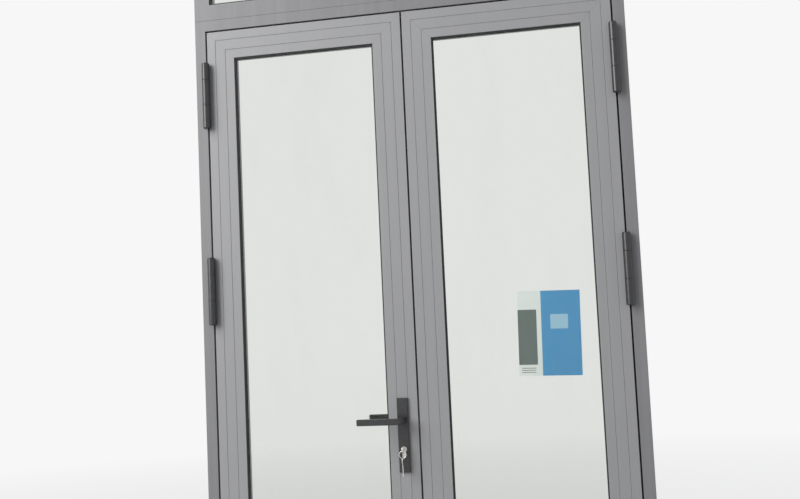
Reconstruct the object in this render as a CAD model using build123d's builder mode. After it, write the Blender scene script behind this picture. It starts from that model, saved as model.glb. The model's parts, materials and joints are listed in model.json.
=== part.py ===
"""Two-leaf glass entrance door in its aluminium frame, with a fixed light standing on the frame's head.

Millimetres, +Z up. The outside faces -Y, y = 0 is the middle of the frame's depth, and the origin is the
middle of the threshold's underside. A profile is drawn in its member's own plane: local x runs from the
member's outer edge towards the glass, and local y is the door's Y.
"""

import os

from build123d import *

os.makedirs("parts", exist_ok=True)

# Frame
opening_width = 1255.0
frame_face = 34.0
frame_depth = 55.0
frame_web_setback = 13.5
stop_reach = 22.0
stop_thickness = 5.0
threshold_height = 20.0
threshold_nose = 14.0
threshold_rib_pitch = 9.0
threshold_rib_count = 4
wall = 2.0
edge_radius = 1.0
overcut = 1.0

# Leaves
leaf_height = 2230.0
leaf_tube = 68.0
leaf_gap = 5.0
sill_gap = 6.0
face_wall = 2.6
groove_places = (27.8, 60.0)
groove_width = 2.4
channel_width = 26.0
channel_depth = 4.0

# Upper light
transom_height = 405.0
transom_tube = 30.0

# Glazing
nose_width = 20.0
glass_thickness = 8.0
glass_setback = 8.0
glass_arris = 0.8
edge_clearance = 5.0
outer_gasket = 3.0
inner_gasket = 2.5
gasket_width = 14.0
gasket_show = 4.5
gasket_foot_width = 6.0
gasket_foot_depth = 2.0
bead_wall = 1.5
bead_chamfer = 3.0
bead_fit = 0.2
block_length = 100.0
block_width = 10.0
block_inset = 90.0

# Seals
seal_stem = 3.0
seal_stem_depth = 2.5
seal_width = 7.0
seal_inset = 8.0
seal_space = 4.0
seal_clearance = 0.3
meeting_seal_width = 4.5
meeting_seal_stem = 2.4
meeting_seal_setback = 6.5
meeting_seal_height = 2.6

# Fixings and joints of the frames
fixing_radius = 4.1
lower_fixing_heights = (450.0, 1050.0)
upper_fixing_drops = (66.0, 606.0)
head_fixing_inset = 227.5
head_fixing_setback = 14.0
cleat_length = 62.0
cleat_width = 14.0
cleat_fit = 0.2
coupling_inset = 57.5
coupling_count = 4
coupling_screw_length = 42.0
screw_radius = 2.4
screw_head_radius = 4.8
screw_fit = 0.2

# Hinges
hinge_length = 208.0
hinge_inset = 204.5
hinge_pair_pitch = 612.0
upper_knuckle = 54.0
lower_knuckle = 75.0
barrel_radius = 12.0
barrel_standoff = 1.0
barrel_chamfer = 2.5
knuckle_gap = 0.3
hinge_pin_radius = 5.0
wing_thickness = 2.0
wing_depth = 52.0
wing_inset = 1.5
running_fit = 0.05

# Handle
lever_height = 1032.0
backset = 45.0
lever_length = 125.0
lever_reach = 69.0
lever_bar = 12.0
lever_bar_height = 18.5
lever_neck = 17.0
lever_bend = 10.0
lever_chamfer = 2.0
lever_clearance = 0.5
lever_journal_radius = 8.0
plate_width = 32.0
plate_over_case = 21.5
plate_under_case = 24.5
plate_thickness = 8.0
plate_chamfer = 1.2
collar_radius = 13.5
collar_height = 3.0
plate_screw_inset = 12.0
spindle_size = 8.0
spindle_length = 106.0

# Lock
cylinder_drop = 85.0
cylinder_radius = 8.5
cylinder_bib_width = 10.0
cylinder_bib_drop = 24.5
cylinder_proud = 1.0
cylinder_slot = 10.0
cylinder_bridge = 8.0
plug_radius = 6.5
cam_radius = 15.5
cam_hub_radius = 8.0
cam_tooth = 6.0
case_height = 170.0
case_clearance = 2.0
case_thickness = 18.0
case_wall = 1.5
forend_margin = 35.0
forend_width = 24.0
forend_thickness = 3.0
follower_radius = 11.0
bolt_thickness = 14.0
bolt_recess = 0.3
latch_bevel = 8.4
latch_height = 22.0
latch_length = 29.0
deadbolt_height = 30.0
deadbolt_length = 26.0
deadbolt_chamfer = 1.2
strike_height = 190.0
strike_play = 1.0
lock_screw_length = 58.0
lock_screw_radius = 2.5
forend_screw_depth = 6.0

# Keys
bow_radius = 11.0
bow_hole_radius = 3.0
bow_hole_offset = 5.5
key_thickness = 2.0
key_shank = 17.0
key_blade = 27.0
key_blade_height = 8.4
key_shoulder = 0.7
bit_pitch = 4.2
bit_depths = (1.6, 2.6, 1.2, 2.2, 1.4)
ring_radius = 10.5
ring_wire = 0.8

# Shoot bolts of the right leaf
shoot_radius = 5.0
shoot_inset = 14.0
shoot_travel = 18.0
shoot_length = 190.0
shoot_recess = 1.0
shoot_chamfer = 1.5
shoot_case_height = 160.0
shoot_case_margin = 40.0
shoot_guide_height = 30.0
shoot_hole_play = 0.6
thumb_height = 12.0
thumb_width = 7.0
keeper_length = 60.0
keeper_thickness = 1.5

# Printed sheet behind the right pane
sheet_width = 180.0
sheet_height = 245.0
sheet_thickness = 0.4
sheet_standoff = 0.1
sheet_side_gap = 52.5
sheet_drop = 989.0
sheet_tilt = -1.2

# Places that follow from these sizes
y_out = -frame_depth / 2
y_in = frame_depth / 2
stop_out = y_in - stop_thickness
leaf_in = stop_out - seal_space
leaf_depth = leaf_in - y_out
leaf_mid = (y_out + leaf_in) / 2
glass_out = y_out + glass_setback
glass_in = glass_out + glass_thickness
nose_in = glass_out - outer_gasket
bead_out = glass_in + inner_gasket
frame_web = y_in - frame_web_setback
opening_half = opening_width / 2
frame_half = opening_half + frame_face
leaf_width = (opening_width - 3 * leaf_gap) / 2
leaf_bottom = threshold_height + sill_gap
leaf_top = leaf_bottom + leaf_height
head_bottom = leaf_top + leaf_gap
head_top = head_bottom + frame_face
transom_top = head_top + transom_height
fixing_heights = (*lower_fixing_heights, *(leaf_top - drop for drop in upper_fixing_drops))
meeting_edge = leaf_gap / 2
hinge_x = opening_half - leaf_gap / 2
hinge_y = y_out - barrel_radius - barrel_standoff
hinge_heights = (leaf_top - hinge_inset, leaf_top - hinge_inset - hinge_pair_pitch, leaf_bottom + hinge_inset)
lever_x = -meeting_edge - backset
cylinder_height = lever_height - cylinder_drop
lock_middle = (lever_height + cylinder_height) / 2
plate_top = lock_middle + case_height / 2 + plate_over_case
plate_bottom = lock_middle - case_height / 2 - plate_under_case
forend_height = case_height + 2 * forend_margin
plate_out = y_out - plate_thickness
plate_screw_heights = (plate_top - plate_screw_inset, plate_bottom + plate_screw_inset)
forend_back = -meeting_edge - channel_depth
forend_front = forend_back + forend_thickness
case_back = -meeting_edge - leaf_tube + wall + case_clearance
bolt_front = forend_front - bolt_recess
cylinder_out = plate_out - cylinder_proud
cylinder_in = 2 * leaf_mid - cylinder_out
cylinder_screw_height = cylinder_height - cylinder_bib_drop + cylinder_bridge / 2
shoot_x = meeting_edge + shoot_inset
key_bow_y = cylinder_out - key_shoulder - key_shank
key_hole_y = key_bow_y - bow_hole_offset
sheet_x = meeting_edge + leaf_width - leaf_tube - nose_width - sheet_side_gap - sheet_width / 2
sheet_z = leaf_top - sheet_drop


def facade(y):
    """A plane at depth y: its local x and y are the door's X and Z, and it extrudes outwards."""
    return Plane(origin=(0, y, 0), x_dir=(1, 0, 0), z_dir=(0, -1, 0))


def side_plane(x):
    """A plane at x: its local x and y are the door's Y and Z."""
    return Plane(origin=(x, 0, 0), x_dir=(0, 1, 0), z_dir=(1, 0, 0))


def area(x0, x1, y0, y1, mode=Mode.ADD):
    """A rectangle given by its limits."""
    with Locations(((x0 + x1) / 2, (y0 + y1) / 2)):
        Rectangle(abs(x1 - x0), abs(y1 - y0), mode=mode)


def block(x0, x1, y0, y1, z0, z1, mode=Mode.ADD):
    """A box given by its limits."""
    with Locations(((x0 + x1) / 2, (y0 + y1) / 2, (z0 + z1) / 2)):
        Box(abs(x1 - x0), abs(y1 - y0), abs(z1 - z0), mode=mode)


def hole_through(x, y, z, radius, length, axis):
    """A round hole centred on a point, along X, Y or Z."""
    turn = {"x": (0, 90, 0), "y": (90, 0, 0), "z": (0, 0, 0)}[axis]
    with Locations(Location((x, y, z), turn)):
        Cylinder(radius, length, mode=Mode.SUBTRACT)


def sides_of(left, right, bottom, top):
    """Planes and lengths of the four members round a rectangle."""
    return {
        "left": (Plane(origin=(left, 0, bottom), x_dir=(1, 0, 0), z_dir=(0, 0, 1)), top - bottom),
        "right": (Plane(origin=(right, 0, top), x_dir=(-1, 0, 0), z_dir=(0, 0, -1)), top - bottom),
        "top": (Plane(origin=(left, 0, top), x_dir=(0, 0, -1), z_dir=(1, 0, 0)), right - left),
        "bottom": (Plane(origin=(right, 0, bottom), x_dir=(0, 0, 1), z_dir=(-1, 0, 0)), right - left),
    }


def bar(profile, plane, length, mitre_start=True, mitre_end=True):
    """A profile along its member, with its ends cut to a mitre or square."""
    with BuildPart() as member:
        with BuildSketch(plane):
            profile()
        extrude(amount=length)
        if mitre_start:
            split(bisect_by=Plane(origin=plane.origin, z_dir=plane.z_dir - plane.x_dir), keep=Keep.TOP)
        if mitre_end:
            far_corner = plane.origin + plane.z_dir * length
            split(bisect_by=Plane(origin=far_corner, z_dir=-plane.z_dir - plane.x_dir), keep=Keep.TOP)
    return member.part


def round_face_edges():
    """Rounds the two edges of the outer face of the profile being drawn."""
    fillet(vertices().group_by(Axis.Y)[0], edge_radius)


def frame_profile():
    """Door frame: a two-chamber tube with the stop that carries the seal."""
    area(0, frame_face, y_out, y_in)
    area(frame_face, frame_face + stop_reach, stop_out, y_in)
    round_face_edges()
    area(wall, frame_face - wall, y_out + wall, frame_web - wall, mode=Mode.SUBTRACT)
    area(wall, frame_face - wall, frame_web, y_in - wall, mode=Mode.SUBTRACT)
    stem = frame_face + stop_reach - seal_inset
    area(stem - seal_stem / 2, stem + seal_stem / 2, stop_out, stop_out + seal_stem_depth, mode=Mode.SUBTRACT)


def seal_profile():
    """Rubber seal: a stem in the stop's groove and a crowned lip towards the leaf."""
    stem = frame_face + stop_reach - seal_inset
    lip = stop_out - leaf_in - seal_clearance
    with Locations((stem, stop_out)):
        Ellipse(seal_width / 2, lip)
    area(stem - seal_width / 2, stem + seal_width / 2, stop_out, stop_out + lip, mode=Mode.SUBTRACT)
    area(stem - seal_stem / 2, stem + seal_stem / 2, stop_out, stop_out + seal_stem_depth)


def lip_pockets(tube):
    """Leaves the lip over the pane a plain wall with two ribs, which hold the gasket's foot between them."""
    pocket_end = tube + nose_width - wall
    pocket_start = pocket_end - gasket_foot_width - 2 * running_fit
    area(pocket_start, pocket_end, y_out + face_wall, nose_in, mode=Mode.SUBTRACT)
    area(tube, pocket_start - wall, y_out + face_wall, nose_in, mode=Mode.SUBTRACT)


def leaf_profile():
    """Stile or rail of a leaf: a tube, a lip over the pane, and a channel in its edge for the fittings."""
    area(0, leaf_tube, y_out, leaf_in)
    area(leaf_tube, leaf_tube + nose_width, y_out, nose_in)
    round_face_edges()
    channel_out = leaf_mid - channel_width / 2
    channel_in = leaf_mid + channel_width / 2
    area(0, channel_depth, channel_out, channel_in, mode=Mode.SUBTRACT)
    area(channel_depth + wall, leaf_tube - wall, y_out + face_wall, leaf_in - wall, mode=Mode.SUBTRACT)
    lip_pockets(leaf_tube)
    with Locations([(place, y_out) for place in groove_places]):
        Rectangle(groove_width / 2**0.5, groove_width / 2**0.5, rotation=45, mode=Mode.SUBTRACT)


def transom_profile():
    """Member of the upper light: a full-depth tube with a lip over the pane."""
    area(0, transom_tube, y_out, y_in)
    area(transom_tube, transom_tube + nose_width, y_out, nose_in)
    round_face_edges()
    area(wall, transom_tube - wall, y_out + face_wall, y_in - wall, mode=Mode.SUBTRACT)
    lip_pockets(transom_tube)


def bead_profile(inner_face):
    """Glazing bead: a channel with its open side to the pane."""
    area(0, nose_width, bead_out, inner_face)
    inner_corner = vertices().group_by(Axis.Y)[-1].sort_by(Axis.X)[-1]
    chamfer(inner_corner, bead_chamfer)
    area(bead_wall, nose_width - bead_wall, bead_out, inner_face - 2 * bead_wall, mode=Mode.SUBTRACT)


def save(piece, name):
    """Labels a finished piece and writes its STEP file under its node's name."""
    piece.part.label = name
    export_step(piece.part, f"parts/{name}.step")


def pane(left, right, bottom, top, tube):
    """Toughened glass in the pocket of a frame whose tube is this wide."""
    inset = tube + edge_clearance
    with BuildPart() as glass:
        with BuildSketch(facade(glass_in)):
            area(left + inset, right - inset, bottom + inset, top - inset)
        extrude(amount=glass_thickness)
        chamfer(glass.edges(), glass_arris)
    return glass


def gaskets(left, right, bottom, top, tube):
    """The outer gasket ring of one pane, with its foot in the lip's pocket, and the inner ring."""
    show = tube + nose_width + gasket_show
    foot_end = tube + nose_width - wall - running_fit
    rings = (
        (glass_out, outer_gasket, show - gasket_width, show),
        (nose_in, gasket_foot_depth, foot_end - gasket_foot_width, foot_end),
        (bead_out, inner_gasket, show - gasket_width, show),
    )
    with BuildPart() as both:
        for y, depth, start, end in rings:
            with BuildSketch(facade(y)):
                area(left + start, right - start, bottom + start, top - start)
                area(left + end, right - end, bottom + end, top - end, mode=Mode.SUBTRACT)
            extrude(amount=depth)
    return both


def beads(left, right, bottom, top, tube, inner_face):
    """Four glazing beads: the upper and lower run through, and the upright ones stand between them."""
    pocket = sides_of(left + tube, right - tube, bottom + tube, top - tube)
    with BuildPart() as four:
        for side, (plane, length) in pocket.items():
            cut = nose_width + bead_fit if side in ("left", "right") else 0
            start = Plane(origin=plane.origin + plane.z_dir * cut, x_dir=plane.x_dir, z_dir=plane.z_dir)
            add(bar(lambda: bead_profile(inner_face), start, length - 2 * cut, False, False))
    return four


def setting_blocks(left, right, bottom, top, tube):
    """Two blocks under the pane and two above it."""
    glass_middle = (glass_out + glass_in) / 2
    with BuildPart() as four:
        for x in (left + tube + block_inset, right - tube - block_inset):
            for z in (bottom + tube + edge_clearance / 2, top - tube - edge_clearance / 2):
                with Locations((x, glass_middle, z)):
                    Box(block_length, block_width, edge_clearance)
    return four


def corner_cleats(left, right, bottom, top, tube, depths, corners):
    """L-shaped cleats inside the mitres: each lies against the inner walls of the two tubes that it joins."""
    near = tube - wall - cleat_width
    far = tube - wall
    first, last = depths
    with BuildPart() as cleats:
        with BuildSketch(facade(last - cleat_fit)):
            for x_side, z_side in corners:
                x_edge, x_in = (left, 1) if x_side == "left" else (right, -1)
                z_edge, z_in = (bottom, 1) if z_side == "bottom" else (top, -1)
                long_x = x_edge + x_in * (near + cleat_length)
                long_z = z_edge + z_in * (near + cleat_length)
                area(x_edge + x_in * near, long_x, z_edge + z_in * near, z_edge + z_in * far)
                area(x_edge + x_in * near, x_edge + x_in * far, z_edge + z_in * near, long_z)
        extrude(amount=last - first - 2 * cleat_fit)
    return cleats


def countersunk_screw(head, direction, length, radius):
    """A screw whose head lies flush at a point; direction is the way it is driven."""
    with BuildPart() as screw:
        with BuildSketch(Plane(origin=head, z_dir=direction)):
            Circle(screw_head_radius)
        with BuildSketch(Plane(origin=head, z_dir=direction).offset(screw_head_radius - radius)):
            Circle(radius)
        loft()
        with BuildSketch(Plane(origin=head, z_dir=direction)):
            Circle(radius)
        extrude(amount=length)
    return screw.part


def screw_hole(head, direction, length, radius):
    """The countersunk hole of such a screw, cut from the part being built."""
    outwards = tuple(-component for component in direction)
    with Locations(Plane(origin=head, z_dir=outwards)):
        head_radius = screw_head_radius + screw_fit
        CounterSinkHole(radius + screw_fit, head_radius, depth=length, counter_sink_angle=90)


def cylinder_outline(play=0.0):
    """Outline of a profile cylinder: a round barrel over a narrow bib."""
    with Locations((lever_x, cylinder_height)):
        Circle(cylinder_radius + play)
    bib_half = cylinder_bib_width / 2 + play
    bib_centre = cylinder_height - cylinder_bib_drop + cylinder_bib_width / 2
    area(lever_x - bib_half, lever_x + bib_half, bib_centre, cylinder_height)
    with Locations((lever_x, bib_centre)):
        Circle(bib_half)


def key_outline():
    """Outline of a key: its bow at the local origin and its blade along local x."""
    Circle(bow_radius)
    area(0, key_shank, -key_blade_height / 2 - key_shoulder, key_blade_height / 2 + key_shoulder)
    area(key_shank, key_shank + key_blade, -key_blade_height / 2, key_blade_height / 2)
    for i, depth in enumerate(bit_depths):
        with Locations((key_shank + bit_pitch * (i + 1), key_blade_height / 2)):
            Rectangle(depth * 2**0.5, depth * 2**0.5, rotation=45, mode=Mode.SUBTRACT)
    with Locations((-bow_hole_offset, 0)):
        Circle(bow_hole_radius, mode=Mode.SUBTRACT)


def knuckle(side, low, high, wing_side, capped_low=False, capped_high=False):
    """One knuckle with its wing in the gap; wing_side is +1 for the leaf's wing and -1 for the frame's."""
    axis_x = side * hinge_x
    wing_x = axis_x - side * wing_side * (leaf_gap - wing_thickness) / 2
    with BuildPart() as hinge:
        with BuildSketch(Plane.XY.offset(low)):
            with Locations((axis_x, hinge_y)):
                Circle(barrel_radius)
        extrude(amount=high - low)
        if capped_low:
            chamfer(hinge.edges().filter_by(GeomType.CIRCLE).group_by(Axis.Z)[0], barrel_chamfer)
        if capped_high:
            chamfer(hinge.edges().filter_by(GeomType.CIRCLE).group_by(Axis.Z)[-1], barrel_chamfer)
        block(
            wing_x - wing_thickness / 2,
            wing_x + wing_thickness / 2,
            hinge_y,
            hinge_y + wing_depth,
            low + wing_inset,
            high - wing_inset,
        )
        hole_through(axis_x, hinge_y, (low + high) / 2, hinge_pin_radius + running_fit, high - low, "z")
    return hinge.part


# Door frame
frame_sides = sides_of(-frame_half, frame_half, 0, head_top)
for side, x_sign in (("left", -1), ("right", 1)):
    plane, length = frame_sides[side]
    top_end = side == "left"
    with BuildPart() as jamb:
        add(bar(frame_profile, plane, length, mitre_start=not top_end, mitre_end=top_end))
        stop_edge = opening_half - stop_reach
        block(x_sign * stop_edge, x_sign * opening_half, stop_out, y_in, 0, threshold_height, Mode.SUBTRACT)
        for z in fixing_heights:
            hole_through(x_sign * (opening_half + frame_face / 2), 0, z, fixing_radius, frame_face, "x")
    save(jamb, f"jamb_{side}")

coupling_span = opening_width - 2 * coupling_inset
coupling_places = [(i / (coupling_count - 1) - 0.5) * coupling_span for i in range(coupling_count)]
with BuildPart() as frame_head:
    add(bar(frame_profile, *frame_sides["top"]))
    for x in coupling_places:
        screw_hole((x, 0, head_bottom), (0, 0, 1), coupling_screw_length, screw_radius)
    hole_through(shoot_x, leaf_mid, head_bottom, shoot_radius + shoot_hole_play, 2 * wall + overcut, "z")
save(frame_head, "frame_head")

with BuildPart() as threshold:
    with BuildSketch(side_plane(-opening_half)):
        with BuildLine():
            Polyline(
                (y_out, 0),
                (y_in, 0),
                (y_in, threshold_height),
                (y_out + threshold_nose, threshold_height),
                (y_out, threshold_height - threshold_nose / 2),
                close=True,
            )
        make_face()
        area(
            y_out + threshold_nose,
            y_in - wall,
            wall,
            threshold_height - wall - groove_width / 2,
            mode=Mode.SUBTRACT,
        )
        rib_places = [y_in - threshold_rib_pitch * (i + 1) for i in range(threshold_rib_count)]
        with Locations([(place, threshold_height) for place in rib_places]):
            Rectangle(groove_width / 2**0.5, groove_width / 2**0.5, rotation=45, mode=Mode.SUBTRACT)
    extrude(amount=opening_width)
    hole_depth = 2 * (wall + groove_width)
    hole_through(shoot_x, leaf_mid, threshold_height, shoot_radius + shoot_hole_play, hole_depth, "z")
save(threshold, "threshold")

with BuildPart() as frame_seal:
    seal_sides = sides_of(-frame_half, frame_half, threshold_height, head_top)
    add(bar(seal_profile, *seal_sides["left"], mitre_start=False))
    add(bar(seal_profile, *seal_sides["top"]))
    add(bar(seal_profile, *seal_sides["right"], mitre_end=False))
save(frame_seal, "frame_seal")

with BuildPart() as bolt_keepers:
    for z in (head_bottom - keeper_thickness / 2, threshold_height + keeper_thickness / 2):
        with Locations((shoot_x, leaf_mid, z)):
            Box(keeper_length, forend_width, keeper_thickness)
        hole_through(shoot_x, leaf_mid, z, shoot_radius + shoot_hole_play, keeper_thickness, "z")
save(bolt_keepers, "bolt_keepers")

with BuildPart() as coupling_screws:
    for x in coupling_places:
        add(countersunk_screw((x, 0, head_bottom), (0, 0, 1), coupling_screw_length, screw_radius))
save(coupling_screws, "coupling_screws")

with BuildPart() as frame_corner_cleats:
    door_depths = (y_out + wall, frame_web - wall)
    door_corners = (("left", "top"), ("right", "top"))
    add(corner_cleats(-frame_half, frame_half, 0, head_top, frame_face, door_depths, door_corners).part)
    light_depths = (y_out + face_wall, y_in - wall)
    all_corners = (("left", "top"), ("right", "top"), ("left", "bottom"), ("right", "bottom"))
    light = (-frame_half, frame_half, head_top, transom_top)
    add(corner_cleats(*light, transom_tube, light_depths, all_corners).part)
save(frame_corner_cleats, "frame_corner_cleats")

# Upper light
transom_names = {
    "left": "transom_jamb_left",
    "right": "transom_jamb_right",
    "top": "transom_head",
    "bottom": "transom_sill",
}
for side, (plane, length) in sides_of(*light).items():
    with BuildPart() as transom_member:
        add(bar(transom_profile, plane, length))
        if side == "top":
            for x in (head_fixing_inset - opening_half, opening_half - head_fixing_inset):
                z = transom_top - transom_tube / 2
                hole_through(x, head_fixing_setback, z, fixing_radius, transom_tube, "z")
        if side == "bottom":
            for x in coupling_places:
                hole_through(x, 0, head_top, screw_radius + screw_fit, 2 * wall + overcut, "z")
    save(transom_member, transom_names[side])

save(pane(*light, transom_tube), "transom_glass")
save(gaskets(*light, transom_tube), "transom_gaskets")
save(beads(*light, transom_tube, y_in), "transom_beads")
save(setting_blocks(*light, transom_tube), "transom_setting_blocks")

# Hinges
with BuildPart() as hinge_frame_wings:
    for side in (-1, 1):
        for middle in hinge_heights:
            top = middle + hinge_length / 2
            bottom = middle - hinge_length / 2
            add(knuckle(side, top - upper_knuckle, top, -1, capped_high=True))
            add(knuckle(side, bottom, bottom + lower_knuckle, -1, capped_low=True))
save(hinge_frame_wings, "hinge_frame_wings")

with BuildPart() as hinge_pins:
    for side in (-1, 1):
        for middle in hinge_heights:
            with Locations((side * hinge_x, hinge_y, middle)):
                Cylinder(hinge_pin_radius, hinge_length)
save(hinge_pins, "hinge_pins")

for name, side in (("left_hinge_wings", -1), ("right_hinge_wings", 1)):
    with BuildPart() as leaf_wings:
        for middle in hinge_heights:
            low = middle - hinge_length / 2 + lower_knuckle + knuckle_gap
            high = middle + hinge_length / 2 - upper_knuckle - knuckle_gap
            add(knuckle(side, low, high, 1))
    save(leaf_wings, name)

# Leaves: what both have
leaf_limits = {
    "left": (-meeting_edge - leaf_width, -meeting_edge, leaf_bottom, leaf_top),
    "right": (meeting_edge, meeting_edge + leaf_width, leaf_bottom, leaf_top),
}
for leaf, limits in leaf_limits.items():
    save(pane(*limits, leaf_tube), f"{leaf}_glass")
    save(gaskets(*limits, leaf_tube), f"{leaf}_gaskets")
    save(beads(*limits, leaf_tube, leaf_in), f"{leaf}_beads")
    save(setting_blocks(*limits, leaf_tube), f"{leaf}_setting_blocks")
    leaf_depths = (y_out + face_wall, leaf_in - wall)
    save(corner_cleats(*limits, leaf_tube, leaf_depths, all_corners), f"{leaf}_corner_cleats")

# Left leaf: stiles and rails
left_sides = sides_of(*leaf_limits["left"])
with BuildPart() as left_hinge_stile:
    add(bar(leaf_profile, *left_sides["left"]))
save(left_hinge_stile, "left_hinge_stile")

with BuildPart() as left_top_rail:
    add(bar(leaf_profile, *left_sides["top"]))
save(left_top_rail, "left_top_rail")

with BuildPart() as left_bottom_rail:
    add(bar(leaf_profile, *left_sides["bottom"]))
save(left_bottom_rail, "left_bottom_rail")

with BuildPart() as left_lock_stile:
    add(bar(leaf_profile, *left_sides["right"]))
    pocket_half = case_thickness / 2 + screw_fit
    case_half = case_height / 2 + screw_fit
    block(
        forend_back - wall - overcut,
        forend_back + overcut,
        leaf_mid - pocket_half,
        leaf_mid + pocket_half,
        lock_middle - case_half,
        lock_middle + case_half,
        Mode.SUBTRACT,
    )
    hole_through(lever_x, leaf_mid, lever_height, lever_journal_radius + screw_fit, leaf_depth, "y")
    with BuildSketch(facade(leaf_in)):
        cylinder_outline(play=screw_fit)
    extrude(amount=leaf_depth, mode=Mode.SUBTRACT)
    for z in plate_screw_heights:
        hole_through(lever_x, leaf_mid, z, lock_screw_radius + screw_fit, leaf_depth, "y")
save(left_lock_stile, "left_lock_stile")

# Handle
leaf_mirror = Plane(origin=(0, leaf_mid, 0), x_dir=(1, 0, 0), z_dir=(0, 1, 0))
with BuildPart() as plain_backplate:
    with BuildSketch(facade(y_out)):
        area(lever_x - plate_width / 2, lever_x + plate_width / 2, plate_bottom, plate_top)
    extrude(amount=plate_thickness)
    chamfer(plain_backplate.faces().sort_by(Axis.Y)[0].edges(), plate_chamfer)
    with BuildSketch(facade(plate_out)):
        with Locations((lever_x, lever_height)):
            Circle(collar_radius)
    extrude(amount=collar_height)
    bore_length = 2 * (plate_thickness + collar_height)
    hole_through(lever_x, y_out, lever_height, lever_journal_radius + running_fit, bore_length, "y")
    with BuildSketch(facade(y_out)):
        cylinder_outline(play=screw_fit)
    extrude(amount=plate_thickness, mode=Mode.SUBTRACT)

with BuildPart() as backplate_outer:
    add(plain_backplate.part)
    plate_in = 2 * leaf_mid - plate_out
    screw_tip = plate_in - lock_screw_length
    for z in plate_screw_heights:
        tap_depth = y_out - screw_tip + overcut
        hole_through(lever_x, y_out, z, lock_screw_radius + running_fit, 2 * tap_depth, "y")
save(backplate_outer, "backplate_outer")

with BuildPart() as backplate_inner:
    mirror(plain_backplate.part, about=leaf_mirror)
    for z in plate_screw_heights:
        screw_hole((lever_x, plate_in, z), (0, -1, 0), plate_thickness, lock_screw_radius)
save(backplate_inner, "backplate_inner")

with BuildPart() as outer_lever:
    lever_out = y_out - lever_reach
    neck_end = plate_out - collar_height - lever_clearance
    with BuildSketch(Plane.XY.offset(lever_height - lever_bar_height / 2)):
        area(lever_x - lever_length, lever_x + lever_neck / 2, lever_out, lever_out + lever_bar)
        area(lever_x - lever_neck / 2, lever_x + lever_neck / 2, lever_out, neck_end)
        outer_bend = vertices().group_by(Axis.Y)[0].sort_by(Axis.X)[-1]
        fillet(outer_bend, lever_bend)
        inner_bend = vertices().sort_by_distance((lever_x - lever_neck / 2, lever_out + lever_bar))[0]
        fillet(inner_bend, lever_bend / 2)
    extrude(amount=lever_bar_height)
    for end in (0, -1):
        chamfer(outer_lever.faces().filter_by(Axis.Z).sort_by(Axis.Z)[end].edges(), lever_chamfer)
    with BuildSketch(facade(y_out)):
        with Locations((lever_x, lever_height)):
            Circle(lever_journal_radius)
    extrude(amount=y_out - neck_end)
    bore_half = spindle_size / 2 + running_fit
    bore_end = leaf_mid - spindle_length / 2 - overcut
    block(
        lever_x - bore_half,
        lever_x + bore_half,
        bore_end,
        y_out,
        lever_height - bore_half,
        lever_height + bore_half,
        Mode.SUBTRACT,
    )
save(outer_lever, "outer_lever")

with BuildPart() as inner_lever:
    mirror(outer_lever.part, about=leaf_mirror)
save(inner_lever, "inner_lever")

with BuildPart() as spindle:
    with Locations((lever_x, leaf_mid, lever_height)):
        Box(spindle_size, spindle_length, spindle_size)
save(spindle, "spindle")

# Lock
with BuildPart() as lock_case:
    block(
        case_back,
        forend_back,
        leaf_mid - case_thickness / 2,
        leaf_mid + case_thickness / 2,
        lock_middle - case_height / 2,
        lock_middle + case_height / 2,
    )
    block(
        case_back + case_wall,
        forend_back,
        leaf_mid - case_thickness / 2 + case_wall,
        leaf_mid + case_thickness / 2 - case_wall,
        lock_middle - case_height / 2 + case_wall,
        lock_middle + case_height / 2 - case_wall,
        Mode.SUBTRACT,
    )
    block(
        forend_back,
        forend_front,
        leaf_mid - forend_width / 2,
        leaf_mid + forend_width / 2,
        lock_middle - forend_height / 2,
        lock_middle + forend_height / 2,
    )
    for z, height in ((lever_height, latch_height), (cylinder_height, deadbolt_height)):
        block(
            forend_back - overcut,
            forend_front,
            leaf_mid - bolt_thickness / 2 - running_fit,
            leaf_mid + bolt_thickness / 2 + running_fit,
            z - height / 2 - running_fit,
            z + height / 2 + running_fit,
            Mode.SUBTRACT,
        )
    journal_radius = lever_journal_radius + running_fit
    hole_through(lever_x, leaf_mid, lever_height, journal_radius, case_thickness, "y")
    with BuildSketch(facade(leaf_mid + case_thickness / 2)):
        cylinder_outline(play=screw_fit)
    extrude(amount=case_thickness, mode=Mode.SUBTRACT)
    cylinder_screw_head = (forend_front, leaf_mid, cylinder_screw_height)
    screw_hole(cylinder_screw_head, (-1, 0, 0), forend_screw_depth, lock_screw_radius)
save(lock_case, "lock_case")

with BuildPart() as lock_screws:
    for z in plate_screw_heights:
        add(countersunk_screw((lever_x, plate_in, z), (0, -1, 0), lock_screw_length, lock_screw_radius))
    add(countersunk_screw(cylinder_screw_head, (-1, 0, 0), lock_screw_length, lock_screw_radius))
save(lock_screws, "lock_screws")

with BuildPart() as lock_follower:
    inside = case_thickness - 2 * case_wall - 2 * knuckle_gap
    with Locations(Location((lever_x, leaf_mid, lever_height), (90, 0, 0))):
        Cylinder(follower_radius, inside)
        Cylinder(lever_journal_radius, case_thickness)
        Box(2 * bore_half, 2 * bore_half, case_thickness, mode=Mode.SUBTRACT)
save(lock_follower, "lock_follower")

with BuildPart() as latch_bolt:
    block(
        bolt_front - latch_length,
        bolt_front,
        leaf_mid - bolt_thickness / 2,
        leaf_mid + bolt_thickness / 2,
        lever_height - latch_height / 2,
        lever_height + latch_height / 2,
    )
    closing_edge = latch_bolt.edges().filter_by(Axis.Z).group_by(Axis.X)[-1].sort_by(Axis.Y)[-1]
    chamfer(closing_edge, latch_bevel)
save(latch_bolt, "latch_bolt")

with BuildPart() as deadbolt:
    block(
        bolt_front - deadbolt_length,
        bolt_front,
        leaf_mid - bolt_thickness / 2,
        leaf_mid + bolt_thickness / 2,
        cylinder_height - deadbolt_height / 2,
        cylinder_height + deadbolt_height / 2,
    )
    chamfer(deadbolt.faces().sort_by(Axis.X)[-1].edges(), deadbolt_chamfer)
save(deadbolt, "deadbolt")

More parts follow.
